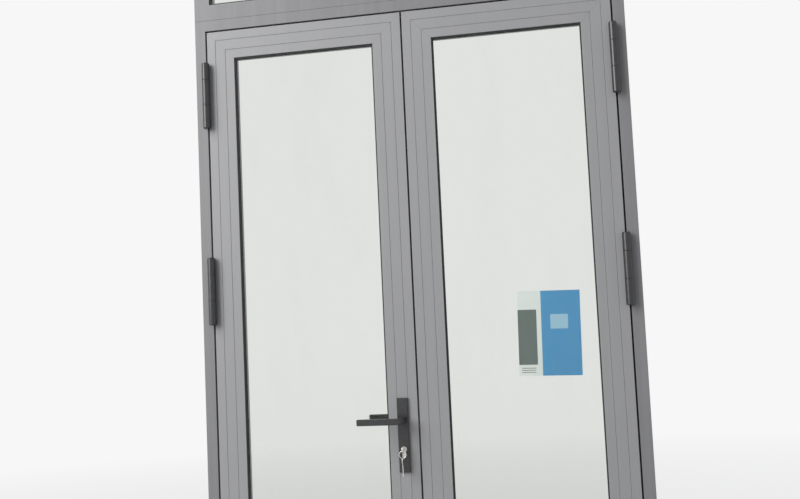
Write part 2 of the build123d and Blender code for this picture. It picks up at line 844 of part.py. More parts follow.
slot_out = leaf_mid - cylinder_slot / 2
slot_in = leaf_mid + cylinder_slot / 2
with BuildPart() as cylinder_body:
    with BuildSketch(facade(cylinder_in)):
        cylinder_outline()
    extrude(amount=cylinder_in - cylinder_out)
    hole_through(
        lever_x, leaf_mid, cylinder_height, plug_radius + running_fit, cylinder_in - cylinder_out, "y"
    )
    bridge_top = cylinder_height - cylinder_bib_drop + cylinder_bridge
    block(
        lever_x - cylinder_radius,
        lever_x + cylinder_radius,
        slot_out,
        slot_in,
        bridge_top,
        cylinder_height + cylinder_radius,
        Mode.SUBTRACT,
    )
    tap = lock_screw_radius + running_fit
    hole_through(lever_x, leaf_mid, cylinder_screw_height, tap, 2 * cylinder_radius, "x")
save(cylinder_body, "cylinder_body")

with BuildPart() as outer_plug:
    plug_end = slot_in - knuckle_gap
    with BuildSketch(facade(plug_end)):
        with Locations((lever_x, cylinder_height)):
            Circle(plug_radius)
    extrude(amount=plug_end - cylinder_out)
    with BuildSketch(facade(plug_end)):
        with Locations((lever_x, cylinder_height)):
            Circle(cam_hub_radius)
        tooth = cylinder_height + cam_radius
        area(lever_x - cam_tooth / 2, lever_x + cam_tooth / 2, cylinder_height, tooth)
    extrude(amount=cylinder_slot - 2 * knuckle_gap)
    keyway_half = key_thickness / 2 + 2 * running_fit
    block(
        lever_x - keyway_half,
        lever_x + keyway_half,
        cylinder_out,
        slot_out,
        cylinder_height - key_blade_height / 2 - 2 * running_fit,
        cylinder_height + key_blade_height / 2 + 2 * running_fit,
        Mode.SUBTRACT,
    )
save(outer_plug, "outer_plug")

with BuildPart() as inner_plug:
    with BuildSketch(facade(cylinder_in)):
        with Locations((lever_x, cylinder_height)):
            Circle(plug_radius)
    extrude(amount=cylinder_in - slot_in - knuckle_gap)
    block(
        lever_x - keyway_half,
        lever_x + keyway_half,
        cylinder_in - key_blade,
        cylinder_in,
        cylinder_height - key_blade_height / 2,
        cylinder_height + key_blade_height / 2,
        Mode.SUBTRACT,
    )
save(inner_plug, "inner_plug")

# Keys
with BuildPart() as key:
    with BuildSketch(Plane(origin=(lever_x, key_bow_y, cylinder_height), x_dir=(0, 1, 0), z_dir=(1, 0, 0))):
        key_outline()
    extrude(amount=key_thickness / 2, both=True)
save(key, "key")

ring_play = bow_hole_radius - ring_wire - 2 * running_fit
ring_height = cylinder_height - ring_play - ring_radius
with BuildPart() as key_ring:
    with Locations(Location((lever_x, key_hole_y, ring_height), (90, 0, 0))):
        Torus(ring_radius, ring_wire)
save(key_ring, "key_ring")

with BuildPart() as spare_key:
    spare_bow = ring_height - ring_radius - ring_play - bow_hole_offset
    with BuildSketch(Plane(origin=(lever_x, key_hole_y, spare_bow), x_dir=(0, 0, -1), z_dir=(1, 0, 0))):
        key_outline()
    extrude(amount=key_thickness / 2, both=True)
save(spare_key, "spare_key")

# Right leaf: stiles and rails
right_sides = sides_of(*leaf_limits["right"])
with BuildPart() as right_hinge_stile:
    add(bar(leaf_profile, *right_sides["right"]))
save(right_hinge_stile, "right_hinge_stile")

for side in ("top", "bottom"):
    with BuildPart() as right_rail:
        add(bar(leaf_profile, *right_sides[side]))
        edge = leaf_top - channel_depth if side == "top" else leaf_bottom + channel_depth
        hole_through(shoot_x, leaf_mid, edge, shoot_radius + running_fit, 2 * wall + overcut, "z")
    save(right_rail, f"right_{side}_rail")

channel_floor = meeting_edge + channel_depth
shoot_ends = {"top": (leaf_top, -1), "bottom": (leaf_bottom, 1)}
with BuildPart() as right_meeting_stile:
    add(bar(leaf_profile, *right_sides["left"]))
    for z, height in ((lever_height, latch_height), (cylinder_height, deadbolt_height)):
        half_width = bolt_thickness / 2 + 2 * strike_play
        half_height = height / 2 + 2 * strike_play
        block(
            channel_floor - overcut,
            channel_floor + wall + overcut,
            leaf_mid - half_width,
            leaf_mid + half_width,
            z - half_height,
            z + half_height,
            Mode.SUBTRACT,
        )
    for end, inward in shoot_ends.values():
        block(
            channel_floor - overcut,
            channel_floor + wall + overcut,
            leaf_mid - case_thickness / 2 - screw_fit,
            leaf_mid + case_thickness / 2 + screw_fit,
            end + inward * (shoot_case_margin + wall),
            end + inward * (shoot_case_margin + shoot_case_height - wall),
            Mode.SUBTRACT,
        )
    seal_mid = leaf_in - meeting_seal_setback
    groove_half = meeting_seal_stem / 2
    block(
        meeting_edge,
        meeting_edge + seal_stem_depth,
        seal_mid - groove_half,
        seal_mid + groove_half,
        leaf_bottom,
        leaf_top,
        Mode.SUBTRACT,
    )
save(right_meeting_stile, "right_meeting_stile")

with BuildPart() as meeting_seal:
    with BuildSketch(Plane.XY.offset(leaf_bottom + seal_stem_depth)):
        stem_half = meeting_seal_stem / 2 - running_fit
        area(meeting_edge, meeting_edge + seal_stem_depth, seal_mid - stem_half, seal_mid + stem_half)
        lip_half = meeting_seal_width / 2
        with BuildLine():
            Line((meeting_edge, seal_mid + lip_half), (meeting_edge, seal_mid - lip_half))
            ThreePointArc(
                (meeting_edge, seal_mid - lip_half),
                (meeting_edge - meeting_seal_height, seal_mid),
                (meeting_edge, seal_mid + lip_half),
            )
        make_face()
    extrude(amount=leaf_height - 2 * seal_stem_depth)
save(meeting_seal, "meeting_seal")

with BuildPart() as strike_plate:
    block(
        channel_floor - forend_thickness,
        channel_floor,
        leaf_mid - forend_width / 2,
        leaf_mid + forend_width / 2,
        lock_middle - strike_height / 2,
        lock_middle + strike_height / 2,
    )
    for z, height in ((lever_height, latch_height), (cylinder_height, deadbolt_height)):
        block(
            channel_floor - forend_thickness,
            channel_floor,
            leaf_mid - bolt_thickness / 2 - strike_play,
            leaf_mid + bolt_thickness / 2 + strike_play,
            z - height / 2 - strike_play,
            z + height / 2 + strike_play,
            Mode.SUBTRACT,
        )
save(strike_plate, "strike_plate")

# Shoot bolts
with BuildPart() as flush_bolt_cases:
    for end, inward in shoot_ends.values():
        near = end + inward * shoot_case_margin
        far = near + inward * shoot_case_height
        thumb = end + inward * (shoot_recess + shoot_length)
        block(
            channel_floor - forend_thickness,
            channel_floor,
            leaf_mid - forend_width / 2,
            leaf_mid + forend_width / 2,
            near,
            far,
        )
        block(
            channel_floor,
            shoot_x + shoot_radius + wall,
            leaf_mid - case_thickness / 2,
            leaf_mid + case_thickness / 2,
            near + inward * 2 * wall,
            near + inward * (2 * wall + shoot_guide_height),
        )
        guide_middle = near + inward * (2 * wall + shoot_guide_height / 2)
        hole_through(shoot_x, leaf_mid, guide_middle, shoot_radius + running_fit, shoot_guide_height, "z")
        block(
            channel_floor - forend_thickness,
            channel_floor,
            leaf_mid - thumb_width / 2 - knuckle_gap,
            leaf_mid + thumb_width / 2 + knuckle_gap,
            thumb + inward * knuckle_gap,
            thumb - inward * (thumb_height + shoot_travel + knuckle_gap),
            Mode.SUBTRACT,
        )
save(flush_bolt_cases, "flush_bolt_cases")

for name, (end, inward) in shoot_ends.items():
    with BuildPart() as shoot_bolt:
        tip = end + inward * shoot_recess
        with BuildSketch(Plane(origin=(shoot_x, leaf_mid, tip), z_dir=(0, 0, inward))):
            Circle(shoot_radius)
        extrude(amount=shoot_length)
        tip_edge = shoot_bolt.edges().filter_by(GeomType.CIRCLE).group_by(Axis.Z)[0 if inward > 0 else -1]
        chamfer(tip_edge, shoot_chamfer)
        thumb_end = tip + inward * shoot_length
        block(
            channel_floor - forend_thickness + bolt_recess,
            shoot_x,
            leaf_mid - thumb_width / 2,
            leaf_mid + thumb_width / 2,
            thumb_end,
            thumb_end - inward * thumb_height,
        )
    save(shoot_bolt, f"{name}_bolt")

# Printed sheet
with BuildPart() as glass_label:
    with BuildSketch(facade(glass_in + sheet_standoff + sheet_thickness)):
        with Locations(Location((sheet_x, sheet_z, 0), (0, 0, sheet_tilt))):
            Rectangle(sheet_width, sheet_height)
    extrude(amount=sheet_thickness)
save(glass_label, "glass_label")
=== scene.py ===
"""Looks of the two-leaf glass entrance door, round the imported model.

Metres, +Z up, the outside faces -Y. The finishes come first, then the small fasteners, then floor, light
and camera.
"""

import json
import math

import bmesh
import bpy
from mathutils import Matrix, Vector


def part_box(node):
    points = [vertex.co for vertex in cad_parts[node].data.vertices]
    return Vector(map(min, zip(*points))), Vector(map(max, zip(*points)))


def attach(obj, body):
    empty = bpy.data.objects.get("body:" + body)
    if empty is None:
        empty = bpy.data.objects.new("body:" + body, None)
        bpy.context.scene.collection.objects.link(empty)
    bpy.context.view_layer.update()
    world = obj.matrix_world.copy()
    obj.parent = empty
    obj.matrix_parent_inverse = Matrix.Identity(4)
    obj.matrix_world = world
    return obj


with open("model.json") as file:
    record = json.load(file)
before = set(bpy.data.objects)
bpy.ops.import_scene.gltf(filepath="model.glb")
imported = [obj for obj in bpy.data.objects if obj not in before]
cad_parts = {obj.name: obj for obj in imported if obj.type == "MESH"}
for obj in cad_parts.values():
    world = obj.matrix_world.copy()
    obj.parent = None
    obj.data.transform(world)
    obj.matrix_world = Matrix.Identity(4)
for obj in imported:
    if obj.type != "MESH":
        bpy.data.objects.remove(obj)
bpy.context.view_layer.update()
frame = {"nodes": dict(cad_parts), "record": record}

# Places on the door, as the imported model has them
LEAF_STILES = {
    "left": ("left_hinge_stile", "left_lock_stile"),
    "right": ("right_meeting_stile", "right_hinge_stile"),
}
LEAF_MEMBER = 0.088
LEAF_MIDDLE_Y = -0.0045
LEAF_EDGE_X = 0.0035
HINGE_NODES = ("hinge_frame_wings", "left_hinge_wings", "right_hinge_wings")
HINGE_X = 0.625
HINGE_MIDDLES = (2.0515, 1.4395, 0.2305)
KNUCKLE_JOINTS = (0.04985, -0.02885)
LOCK_MIDDLE = 0.9895
SHOOT_X = 0.0165
SHEET_WIDTH = 0.180
SHEET_HEIGHT = 0.245
SHEET_TILT = math.radians(-1.2)

# Screw heads: radii, rise and places; a wing's row is its middle above the hinge's and its reach from there
HINGE_HEAD = 0.0042
EDGE_HEAD = 0.0032
HEAD_RISE = 0.00022
HEAD_SEED = 7
WING_FACE = 0.0005
WING_COLUMNS_Y = (-0.016, 0.002)
LEAF_WING_ROWS = ((0.0105, 0.0267),)
FRAME_WING_ROWS = ((0.077, 0.0145), (-0.0665, 0.025))
FOREND_REACH = 0.112
STRIKE_REACH = 0.087
BOLT_CASE_HEIGHTS = (2.2100, 2.0604, 0.0720, 0.2216)
KEEPER_FACES = ((2.2595, -1), (0.0215, 1))
KEEPER_REACH = 0.0225

# Camera, fitted to the straight edges of the door
CAMERA_PLACE = (0.5254, -2.9086, 1.2894)
CAMERA_TURN = (94.772, 2.621, 11.202)
CAMERA_LENS = 44.46
SENSOR_WIDTH = 36.0

# Colours, linear
LEAF_GREY = (0.302, 0.301, 0.304)
# Painted shade: the frame's grey is the leaves' coat made darker, standing in for the shade that falls on the
# frame
FRAME_GREY_PAINTED_SHADE = (0.194, 0.192, 0.198)
COAT_DUST = (0.37, 0.365, 0.36)
MITRE_DARK = (0.03, 0.03, 0.03)
BLACK_COAT = (0.032, 0.032, 0.033)
HINGE_BLACK = (0.008, 0.008, 0.009)
HANDLED_GREY = (0.30, 0.30, 0.30)
JOINT_DARK = (0.002, 0.002, 0.002)
GLASS_TINT = (0.790, 0.810, 0.780)
# Colour of the dusty wipe marks, and of a painted reflection of green ground low on the glass
GLASS_DUST_AND_PAINTED_REFLECTION = (0.640, 0.665, 0.610)
RUBBER = (0.016, 0.016, 0.017)
RUBBER_BLOOM = (0.20, 0.20, 0.20)
MILL_ALUMINIUM = (0.62, 0.62, 0.63)
LOCK_STEEL = (0.30, 0.30, 0.305)
SCREW_STEEL = (0.46, 0.46, 0.47)
NICKEL = (0.66, 0.64, 0.60)
KEY_NICKEL = (0.78, 0.78, 0.76)
BLOCK_PLASTIC = (0.035, 0.036, 0.038)
BLOCK_MOTTLE = (0.09, 0.09, 0.09)
PRINT_BLUE = (0.001, 0.262, 0.590)
PRINT_PALE_BLUE = (0.330, 0.560, 0.760)
PRINT_SLATE = (0.075, 0.110, 0.105)
PRINT_GREY = (0.25, 0.25, 0.25)
PRINT_WHITE = (0.800, 0.822, 0.845)
PAPER_FIBRE = (0.5, 0.5, 0.5)

# Fields of the print, as colour, left, right, bottom and top in shares of the sheet, and its thin lines
PRINT_FIELDS = (
    (PRINT_BLUE, 0.375, 1.01, -0.01, 1.01),
    (PRINT_SLATE, -0.01, 0.30, 0.13, 0.78),
    (PRINT_PALE_BLUE, 0.52, 0.80, 0.55, 0.72),
)
PRINT_LINES = (0.035, 0.060, 0.085)
PRINT_LINE_ENDS = (0.04, 0.27)
PRINT_LINE_THICKNESS = 0.010

# Glass and black coats
GLASS_IOR = 1.52
HANDLE_GLOSS = 0.5
HINGE_GLOSS = 0.7

# Floor, backdrop and light
FLOOR_COLOUR = (0.40, 0.40, 0.395)
FLOOR_MOTTLE = (0.33, 0.33, 0.325)
FLOOR_PALENESS = 0.72
FLOOR_FADE = (2.5, 9.0)
FLOOR_REACH = 60.0
FLOOR_DROP = 0.0005
BACKDROP_COLOUR = (0.93, 0.93, 0.93)
SKY_COLOUR = (0.90, 0.93, 1.00)
SKY_STRENGTH = 0.46
LIGHT_AIM = (0.0, 0.0, 1.5)
KEY_PLACE = (-3.68, -3.68, 4.3)
KEY_SIZE = (3.0, 5.6)
KEY_POWER = 355.0
FILL_PLACE = (3.4, 5.6, 3.4)
FILL_SIZE = (4.0, 4.0)
FILL_POWER = 110.0


# Node helpers

def new_node(tree, kind, inputs=None, **settings):
    """Adds a node; an input is a value or the socket that feeds it."""
    made = tree.nodes.new(kind)
    for name, value in settings.items():
        setattr(made, name, value)
    for name, value in (inputs or {}).items():
        if isinstance(value, bpy.types.NodeSocket):
            tree.links.new(value, made.inputs[name])
        else:
            made.inputs[name].default_value = value
    return made


def add(tree, kind, inputs=None, **settings):
    """Adds a shader node, named without its prefix."""
    return new_node(tree, "ShaderNode" + kind, inputs, **settings)


def opaque(colour):
    """A colour with its alpha; a socket stays as it is."""
    return (*colour, 1.0) if isinstance(colour, tuple) else colour


def darker(colour, share):
    return tuple(share * channel for channel in colour)


def calculate(tree, operation, *values):
    return add(tree, "Math", dict(enumerate(values)), operation=operation).outputs[0]


def weighted(tree, value, weight):
    return calculate(tree, "MULTIPLY", value, weight)


def weighted_sum(tree, *pairs):
    """Adds up values, each times its weight."""
    first, *others = [weighted(tree, value, weight) for value, weight in pairs]
    for other in others:
        first = calculate(tree, "ADD", first, other)
    return first


def blend_colours(tree, share, first, second):
    """The first colour where share is 0, and the second where it is 1."""
    inputs = {0: share, 6: opaque(first), 7: opaque(second)}
    return add(tree, "Mix", inputs, data_type="RGBA").outputs[2]


def mix_shaders(tree, share, first, second):
    inputs = {0: share, 1: first.outputs[0], 2: second.outputs[0]}
    return add(tree, "MixShader", inputs).outputs[0]


def spread(tree, value, low, high, new_low=0.0, new_high=1.0):
    """Maps low..high to new_low..new_high, held at its ends."""
    inputs = {0: value, 1: low, 2: high, 3: new_low, 4: new_high}
    return add(tree, "MapRange", inputs, clamp=True).outputs[0]


def object_place(tree):
    return add(tree, "TexCoord").outputs["Object"]


def height_of(tree, place):
    return add(tree, "SeparateXYZ", {0: place}).outputs[2]


def stretched(tree, place, scale):
    return add(tree, "Mapping", {"Vector": place, "Scale": scale}).outputs[0]


def grain(tree, place, scale=1.0, detail=2.0, roughness=0.5):
    inputs = {"Vector": place, "Scale": scale, "Detail": detail, "Roughness": roughness}
    return add(tree, "TexNoise", inputs).outputs[0]


def relief(tree, height, depth, strength=1.0, under=None):
    inputs = {"Height": height, "Distance": depth, "Strength": strength}
    if under is not None:
        inputs["Normal"] = under
    return add(tree, "Bump", inputs).outputs[0]


def new_finish(name):
    finish = bpy.data.materials.new(name)
    finish.use_nodes = True
    finish.node_tree.nodes.clear()
    return finish, finish.node_tree


def surface(tree, **inputs):
    """The shader and its output; an input's name is the socket's, with _ for a space."""
    named = {key.replace("_", " "): value for key, value in inputs.items()}
    named["Base Color"] = opaque(named["Base Color"])
    shader = add(tree, "BsdfPrincipled", named)
    add(tree, "OutputMaterial", {"Surface": shader.outputs[0]})


# Finishes

def mitre_lines(tree, place, low, high):
    """1 on the hairline where two mitred members of a leaf meet, 0 elsewhere."""
    hairline, past_member = 0.00035, 0.001
    parts = add(tree, "SeparateXYZ", {0: place}).outputs
    in_from = []
    for socket, first, last in ((parts[0], low.x, high.x), (parts[2], low.z, high.z)):
        from_middle = calculate(tree, "ABSOLUTE", calculate(tree, "SUBTRACT", socket, (first + last) / 2))
        in_from.append(calculate(tree, "SUBTRACT", (last - first) / 2, from_middle))
    apart = calculate(tree, "ABSOLUTE", calculate(tree, "SUBTRACT", *in_from))
    on_line = calculate(tree, "LESS_THAN", apart, hairline)
    near_corner = calculate(tree, "LESS_THAN", in_from[0], LEAF_MEMBER + past_member)
    return calculate(tree, "MULTIPLY", on_line, near_corner)


def grey_powder_coat(name, grey, ring=None):
    """Fine-textured grey powder coat, a little dusty, with the hairlines of the mitres on a leaf."""
    finish, tree = new_finish(name)
    place = object_place(tree)
    clouds = spread(tree, grain(tree, place, scale=2.3, detail=4.0, roughness=0.6), low=0.3, high=0.7)
    downwards = stretched(tree, place, scale=(38.0, 38.0, 1.2))
    runs = spread(tree, grain(tree, downwards, detail=3.0), low=0.42, high=0.72)
    specks = spread(tree, grain(tree, place, scale=900.0, detail=1.0), low=0.55, high=0.75)
    dust = weighted_sum(tree, (clouds, 0.16), (runs, 0.14), (specks, 0.10))
    colour = blend_colours(tree, dust, grey, COAT_DUST)
    if ring:
        line = weighted(tree, mitre_lines(tree, place, *ring), 0.45)
        colour = blend_colours(tree, line, colour, MITRE_DARK)
    texture = relief(tree, grain(tree, place, scale=1500.0), depth=0.00006, strength=0.5)
    orange_peel = grain(tree, place, scale=260.0, detail=1.0)
    texture = relief(tree, orange_peel, depth=0.00008, strength=0.35, under=texture)
    roughness = spread(tree, clouds, low=0.0, high=1.0, new_low=0.40, new_high=0.52)
    surface(tree, Base_Color=colour, Roughness=roughness, Normal=texture, Specular_IOR_Level=0.5)
    return finish


def nearest_height(tree, place, heights):
    """How far a point lies above or below the nearest of these heights."""
    up = height_of(tree, place)
    nearest = 1.0
    for height in heights:
        away = calculate(tree, "ABSOLUTE", calculate(tree, "SUBTRACT", up, height))
        nearest = calculate(tree, "MINIMUM", nearest, away)
    return nearest


def black_satin_coat(name, black, gloss, joints=()):
    """Black coat of hinges and handle, with finger marks and dust, dark and hollow where knuckles meet."""
    finish, tree = new_finish(name)
    place = object_place(tree)
    marks = spread(tree, grain(tree, place, scale=60.0, detail=4.0, roughness=0.6), low=0.45, high=0.75)
    dust = spread(tree, grain(tree, place, scale=700.0), low=0.60, high=0.80)
    colour = blend_colours(tree, weighted_sum(tree, (marks, 0.05), (dust, 0.06)), black, HANDLED_GREY)
    texture = relief(tree, grain(tree, place, scale=1800.0), depth=0.00002, strength=0.25)
    roughness = spread(tree, marks, low=0.0, high=1.0, new_low=0.28, new_high=0.36)
    if joints:
        away = nearest_height(tree, place, joints)
        dark_ring = spread(tree, away, low=0.0003, high=0.0009, new_low=0.8, new_high=0.0)
        rough_ring = spread(tree, away, low=0.0004, high=0.0010, new_low=0.95, new_high=0.0)
        colour = blend_colours(tree, dark_ring, colour, JOINT_DARK)
        roughness = calculate(tree, "MAXIMUM", roughness, rough_ring)
        texture = relief(tree, spread(tree, away, low=0.0, high=0.0012), depth=0.0006, under=texture)
    surface(tree, Base_Color=colour, Roughness=roughness, Normal=texture, Specular_IOR_Level=gloss)
    return finish


def tinted_glass():
    """Toughened glass with a faint green tint, dusty wipe marks, and a painted reflection of green ground
    that thickens towards its foot.
    """
    finish, tree = new_finish("tinted_glass")
    place = object_place(tree)
    wiped = stretched(tree, place, scale=(5.0, 5.0, 2.0))
    wipes = spread(tree, grain(tree, wiped, detail=5.0, roughness=0.65), low=0.50, high=0.85)
    spots = spread(tree, grain(tree, place, scale=320.0), low=0.70, high=0.85)
    haze = weighted_sum(tree, (wipes, 0.020), (spots, 0.03))
    # Painted reflection: the glass turns greener and darker towards its foot, standing in for the ground it
    # mirrors
    painted_ground_reflection = spread(tree, height_of(tree, place), low=0.15, high=1.25, new_low=0.55, new_high=0.0)
    wipe_dust_and_painted_reflection = calculate(tree, "ADD", weighted(tree, wipes, 0.22), painted_ground_reflection)
    clear = add(tree, "BsdfPrincipled", {
        "Base Color": blend_colours(tree, wipe_dust_and_painted_reflection, GLASS_TINT, GLASS_DUST_AND_PAINTED_REFLECTION),
        "Roughness": haze,
        "IOR": GLASS_IOR,
        "Transmission Weight": 1.0,
        "Normal": relief(tree, grain(tree, place, scale=3.0, detail=1.0), depth=0.0006, strength=0.15),
    })
    for_lamps = add(tree, "BsdfTransparent", {0: opaque(GLASS_TINT)})
    shadow_ray = add(tree, "LightPath").outputs["Is Shadow Ray"]
    add(tree, "OutputMaterial", {"Surface": mix_shaders(tree, shadow_ray, clear, for_lamps)})
    return finish


def seal_rubber():
    finish, tree = new_finish("seal_rubber")
    place = object_place(tree)
    bloom = spread(tree, grain(tree, place, scale=45.0, detail=4.0), low=0.45, high=0.80)
    colour = blend_colours(tree, weighted(tree, bloom, 0.10), RUBBER, RUBBER_BLOOM)
    texture = relief(tree, grain(tree, place, scale=1100.0), depth=0.00005, strength=0.5)
    surface(tree, Base_Color=colour, Roughness=0.62, Normal=texture)
    return finish


def drawn_metal(name, colour, along, roughness):
    """Metal with fine lines along one axis, as extruding, rolling or brushing leaves them."""
    across_lines, along_lines = 900.0, 12.0
    smoother, rougher = 0.8, 1.25
    finish, tree = new_finish(name)
    place = object_place(tree)
    scale = tuple(along_lines if axis == along else across_lines for axis in "xyz")
    lines = grain(tree, stretched(tree, place, scale), detail=3.0, roughness=0.6)
    clouds = grain(tree, place, scale=9.0, detail=4.0, roughness=0.6)
    share = spread(tree, weighted_sum(tree, (lines, 0.6), (clouds, 0.4)), low=0.35, high=0.65)
    tone = blend_colours(tree, share, darker(colour, 0.80), colour)
    rough = spread(tree, lines, low=0.3, high=0.7, new_low=roughness * smoother, new_high=roughness * rougher)
    texture = relief(tree, lines, depth=0.00004, strength=0.35)
    surface(tree, Base_Color=tone, Metallic=1.0, Roughness=rough, Normal=texture)
    return finish


def plated_metal(name, colour, roughness):
    """Plated metal with fine crossing scratches and dulled patches."""
    across_scratch, along_scratch = 2600.0, 90.0
    finish, tree = new_finish(name)
    place = object_place(tree)
    upright = stretched(tree, place, scale=(across_scratch, across_scratch, along_scratch))
    level = stretched(tree, place, scale=(along_scratch, along_scratch, across_scratch))
    crossing = calculate(tree, "MAXIMUM", grain(tree, upright), grain(tree, level))
    scratches = spread(tree, crossing, low=0.62, high=0.72)
    dulled = spread(tree, grain(tree, place, scale=130.0, detail=3.0), low=0.4, high=0.7, new_high=0.25)
    tone = blend_colours(tree, dulled, colour, darker(colour, 0.6))
    rough = calculate(tree, "ADD", weighted(tree, scratches, 0.15), roughness)
    texture = relief(tree, scratches, depth=0.00002, strength=0.3)
    surface(tree, Base_Color=tone, Metallic=1.0, Roughness=rough, Normal=texture)
    return finish


def block_plastic():
    finish, tree = new_finish("block_plastic")
    mottle = spread(tree, grain(tree, object_place(tree), scale=80.0, detail=3.0), low=0.4, high=0.7)
    colour = blend_colours(tree, weighted(tree, mottle, 0.3), BLOCK_PLASTIC, BLOCK_MOTTLE)
    texture = relief(tree, mottle, depth=0.00005, strength=0.3)
    surface(tree, Base_Color=colour, Roughness=0.5, Normal=texture)
    return finish


def printed_sheet():
    """Plain fields of colour on the side against the glass, and bare paper behind."""
    finish, tree = new_finish("printed_sheet")
    place = object_place(tree)
    low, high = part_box("glass_label")
    centred = add(tree, "VectorMath", {0: place, 1: (low + high) / 2}, operation="SUBTRACT").outputs[0]
    square = {"Vector": centred, "Angle": SHEET_TILT}
    turned = add(tree, "VectorRotate", square, rotation_type="Y_AXIS").outputs[0]
    parts = add(tree, "SeparateXYZ", {0: turned}).outputs
    across = calculate(tree, "ADD", calculate(tree, "DIVIDE", parts[0], SHEET_WIDTH), 0.5)
    up = calculate(tree, "ADD", calculate(tree, "DIVIDE", parts[2], SHEET_HEIGHT), 0.5)

    def field(left, right, bottom, top):
        inside = calculate(tree, "GREATER_THAN", across, left)
        for value, test, limit in ((across, "LESS_THAN", right), (up, "GREATER_THAN", bottom),
                                   (up, "LESS_THAN", top)):
            inside = calculate(tree, "MULTIPLY", inside, calculate(tree, test, value, limit))
        return inside

    colour = PRINT_WHITE
    for print_colour, *edges in PRINT_FIELDS:
        colour = blend_colours(tree, field(*edges), colour, print_colour)
    for foot in PRINT_LINES:
        line = field(*PRINT_LINE_ENDS, foot, foot + PRINT_LINE_THICKNESS)
        colour = blend_colours(tree, line, colour, PRINT_GREY)
    facing = add(tree, "SeparateXYZ", {0: add(tree, "NewGeometry").outputs["Normal"]}).outputs[1]
    behind = calculate(tree, "GREATER_THAN", facing, -0.5)
    colour = blend_colours(tree, behind, colour, PRINT_WHITE)
    fibres = grain(tree, place, scale=700.0, detail=3.0)
    colour = blend_colours(tree, spread(tree, fibres, low=0.4, high=0.7, new_high=0.06), colour, PAPER_FIBRE)
    texture = relief(tree, fibres, depth=0.00003, strength=0.2)
    surface(tree, Base_Color=colour, Roughness=0.45, Normal=texture)
    return finish


def leaf_ring(side):
    """The lowest and highest corner of a leaf, from its two stiles."""
    first, last = LEAF_STILES[side]
    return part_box(first)[0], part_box(last)[1]


finishes = {
    # Painted shade: the frame gets the leaves' grey coat darkened, standing in for the shade on it
    "frame_coat": grey_powder_coat("frame_powder_coat_painted_shade", FRAME_GREY_PAINTED_SHADE),
    "mill_aluminium": drawn_metal("mill_aluminium", MILL_ALUMINIUM, along="x", roughness=0.38),
    "pane_glass": tinted_glass(),
    "seal_rubber": seal_rubber(),
    "black_coat": black_satin_coat("black_satin_coat", BLACK_COAT, HANDLE_GLOSS),
    "lock_steel": drawn_metal("lock_steel", LOCK_STEEL, along="z", roughness=0.50),
    "cylinder_nickel": plated_metal("cylinder_nickel", NICKEL, roughness=0.28),
    "key_nickel": plated_metal("key_nickel", KEY_NICKEL, roughness=0.20),
    "ring_steel": plated_metal("ring_steel", KEY_NICKEL, roughness=0.16),
    "block_plastic": block_plastic(),
    "sheet_paper": printed_sheet(),
}
leaf_coats = {
    side: grey_powder_coat(f"{side}_leaf_powder_coat", LEAF_GREY, leaf_ring(side))
    for side in LEAF_STILES
}
knuckle_joints = [z + joint for z in HINGE_MIDDLES for joint in KNUCKLE_JOINTS]
hinge_coat = black_satin_coat("hinge_black_coat", HINGE_BLACK, HINGE_GLOSS, knuckle_joints)
for part in frame["record"]["subparts"]:
    node, slot = part["node"], part["material_slot"]
    if slot == "leaf_coat":
        coat = leaf_coats[node.split("_")[0]]
    elif node in HINGE_NODES:
        coat = hinge_coat
    else:
        coat = finishes[slot]
    mesh = frame["nodes"][node].data
    mesh.materials.clear()
    mesh.materials.append(coat)


# Screw heads

def screw_head_pattern():
    """A flat countersunk head of radius 1 and height 1 with a cross recess, which every screw copies."""
    sides, foot_depth, rim_radius = 16, -0.4, 0.95
    arm, half_slot, recess_floor = 0.55, 0.13, 0.1
    shape = bmesh.new()
    turns = [math.tau * i / sides for i in range(sides)]
    foot, rim = (
        [shape.verts.new((radius * math.cos(turn), radius * math.sin(turn), z)) for turn in turns]
        for radius, z in ((1.0, foot_depth), (rim_radius, 1.0))
    )
    quarter = ((arm, -half_slot), (arm, half_slot), (half_slot, half_slot))
    outline = []
    for i in range(4):
        c, s = round(math.cos(i * math.pi / 2)), round(math.sin(i * math.pi / 2))
        outline += [(c * x - s * y, s * x + c * y) for x, y in quarter]
    lip, pit = ([shape.verts.new((x, y, z)) for x, y in outline] for z in (1.0, recess_floor))
    for lower, upper in ((foot, rim), (lip, pit)):
        for i in range(len(lower)):
            shape.faces.new((lower[i - 1], lower[i], upper[i], upper[i - 1]))
    shape.faces.new(reversed(foot))
    inner = pit[2::3]
    shape.faces.new(inner)
    for i in range(4):
        shape.faces.new((inner[i - 1], pit[3 * i], pit[3 * i + 1], inner[i]))
    edges = [shape.edges.get((ring[i - 1], ring[i])) for ring in (rim, lip) for i in range(len(ring))]
    bmesh.ops.triangle_fill(shape, use_beauty=True, edges=edges)
    bmesh.ops.recalc_face_normals(shape, faces=shape.faces)
    mesh = bpy.data.meshes.new("screw_head_pattern")
    shape.to_mesh(mesh)
    shape.free()
    return bpy.data.objects.new("screw_head_pattern", mesh)


